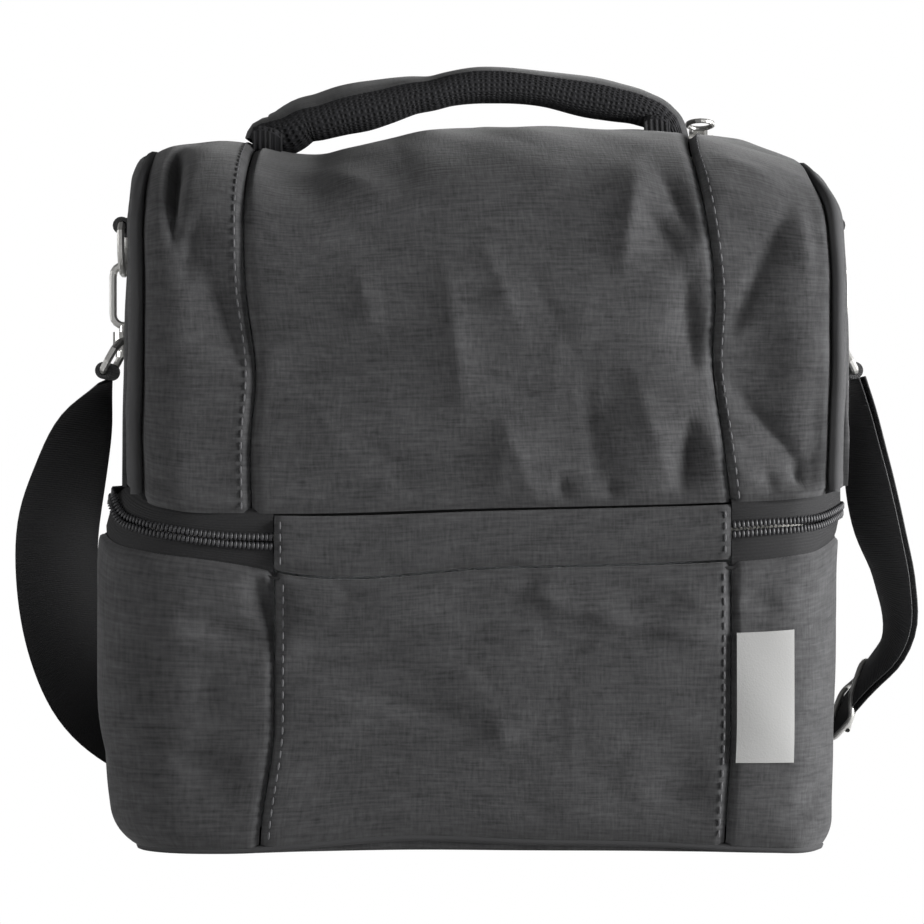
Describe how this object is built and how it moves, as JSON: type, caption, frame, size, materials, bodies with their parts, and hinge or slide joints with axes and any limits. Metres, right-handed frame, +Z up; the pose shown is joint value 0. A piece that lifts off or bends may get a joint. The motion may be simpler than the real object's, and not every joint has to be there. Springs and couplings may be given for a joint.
{
  "type": "insulated lunch bag",
  "caption": "Soft insulated lunch bag with a boxy lower compartment, a domed upper one hinged on a fabric band, zips, padded handle and clip-on shoulder strap.",
  "frame": {"origin": "centre of the base, on the surface the bag stands on", "axes": "+Z up, +X to the right along the width, -Y towards the side with the fabric hinge band"},
  "size_m": [0.3495, 0.1869, 0.2946],
  "materials": {
    "heather_canvas": "charcoal heather polyester canvas, plain weave, matte",
    "webbing": "black woven polypropylene webbing",
    "zip_tape": "dark twill zip tape",
    "zip_coil": "black nylon coil",
    "foam": "closed-cell polyethylene foam",
    "liner": "silver-grey wipe-clean film",
    "board": "stiff polyethylene sheet",
    "spacer_mesh": "black spacer mesh",
    "slider_metal": "gunmetal-painted zinc",
    "nickel": "bright nickel-plated zinc and steel wire",
    "label": "pale grey woven label, bare"
  },
  "bodies": {
    "lower": {"base_panel": "heather_canvas", "base_piping": "heather_canvas", "base_board": "board", "lower_foam_base": "foam", "lower_centre_panel": "heather_canvas", "lower_back_panel": "heather_canvas", "lower_left_panel": "heather_canvas", "lower_right_panel": "heather_canvas", "lower_foam_wrap": "foam", "lower_liner": "liner", "label": "label", "hinge_band": "heather_canvas", "waist_zip_tape_lower": "zip_tape", "waist_zip_coil_lower": "zip_coil"},
    "upper": {"waist_zip_coil_upper": "zip_coil", "waist_zip_tape_upper": "zip_tape", "upper_centre_panel": "heather_canvas", "upper_left_panel": "heather_canvas", "upper_right_panel": "heather_canvas", "left_end_panel": "heather_canvas", "right_end_panel": "heather_canvas", "upper_back_panel": "heather_canvas", "left_piping": "heather_canvas", "right_piping": "heather_canvas", "upper_foam": "foam", "upper_foam_floor": "foam", "divider_liner": "liner", "upper_liner": "liner", "lid_zip_tape_outer": "zip_tape", "lid_zip_coil_outer": "zip_coil", "handle_cover": "heather_canvas", "handle_foam": "foam", "handle_mesh": "spacer_mesh", "d_ring_tab_left": "webbing", "d_ring_tab_right": "webbing", "d_ring_left": "nickel", "d_ring_right": "nickel"},
    "lid": {"lid_panel": "heather_canvas", "lid_foam": "foam", "lid_liner": "liner", "lid_zip_tape_inner": "zip_tape", "lid_zip_coil_inner": "zip_coil"},
    "strap": {"strap_webbing": "webbing", "strap_return": "webbing", "strap_adjuster": "nickel", "strap_ring_left": "nickel", "strap_ring_right": "nickel"},
    "hook_left": {"snap_hook_left": "nickel"},
    "hook_right": {"snap_hook_right": "nickel"},
    "gate_left": {"hook_gate_left": "nickel"},
    "gate_right": {"hook_gate_right": "nickel"},
    "waist_slider_left": {"waist_slider_left": "slider_metal"},
    "waist_slider_right": {"waist_slider_right": "slider_metal"},
    "waist_puller_left": {"waist_puller_left": "slider_metal"},
    "waist_puller_right": {"waist_puller_right": "slider_metal"},
    "lid_slider": {"lid_slider": "slider_metal"},
    "lid_puller": {"lid_puller": "nickel"}
  },
  "joints": [
    {"name": "waist_hinge", "type": "hinge", "parent": "lower", "child": "upper", "pos_m": [0, -0.0839, 0.113], "axis": [1, 0, 0], "range_deg": [0, 100], "deforming": ["hinge_band"]},
    {"name": "lid_hinge", "type": "hinge", "parent": "upper", "child": "lid", "pos_m": [0, 0.0839, 0.14], "axis": [-1, 0, 0], "range_deg": [0, 110]},
    {"name": "strap_swing", "type": "hinge", "parent": "upper", "child": "strap", "pos_m": [0, 0, 0.2285], "axis": [1, 0, 0], "range_deg": [0, 80]},
    {"name": "hook_left_swivel", "type": "hinge", "parent": "strap", "child": "hook_left", "pos_m": [-0.13675, 0, 0.19], "axis": [0, 0, 1], "range_deg": [-20, 20]},
    {"name": "hook_right_swivel", "type": "hinge", "parent": "strap", "child": "hook_right", "pos_m": [0.13675, 0, 0.19], "axis": [0, 0, 1], "range_deg": [-20, 20]},
    {"name": "gate_left_hinge", "type": "hinge", "parent": "hook_left", "child": "gate_left", "pos_m": [-0.1326, 0, 0.20185], "axis": [0, -1, 0], "range_deg": [0, 25]},
    {"name": "gate_right_hinge", "type": "hinge", "parent": "hook_right", "child": "gate_right", "pos_m": [0.1326, 0, 0.20185], "axis": [0, 1, 0], "range_deg": [0, 25]},
    {"name": "waist_slider_left_run", "type": "slide", "parent": "lower", "child": "waist_slider_left", "axis": [-1, 0, 0], "range_m": [0, 0.078]},
    {"name": "waist_slider_right_run", "type": "slide", "parent": "lower", "child": "waist_slider_right", "axis": [1, 0, 0], "range_m": [0, 0.078]},
    {"name": "waist_puller_left_flip", "type": "hinge", "parent": "waist_slider_left", "child": "waist_puller_left", "pos_m": [-0.012, 0.0874, 0.113], "axis": [1, 0, 0], "range_deg": [0, 150]},
    {"name": "waist_puller_right_flip", "type": "hinge", "parent": "waist_slider_right", "child": "waist_puller_right", "pos_m": [0.012, 0.0874, 0.113], "axis": [1, 0, 0], "range_deg": [0, 150]},
    {"name": "lid_slider_run", "type": "slide", "parent": "lid", "child": "lid_slider", "axis": [-1, 0, 0], "range_m": [0, 0.174]},
    {"name": "lid_puller_flip", "type": "hinge", "parent": "lid_slider", "child": "lid_puller", "pos_m": [0.087, 0.03808, 0.27285], "axis": [-1, 0, 0], "range_deg": [0, 160]}
  ]
}
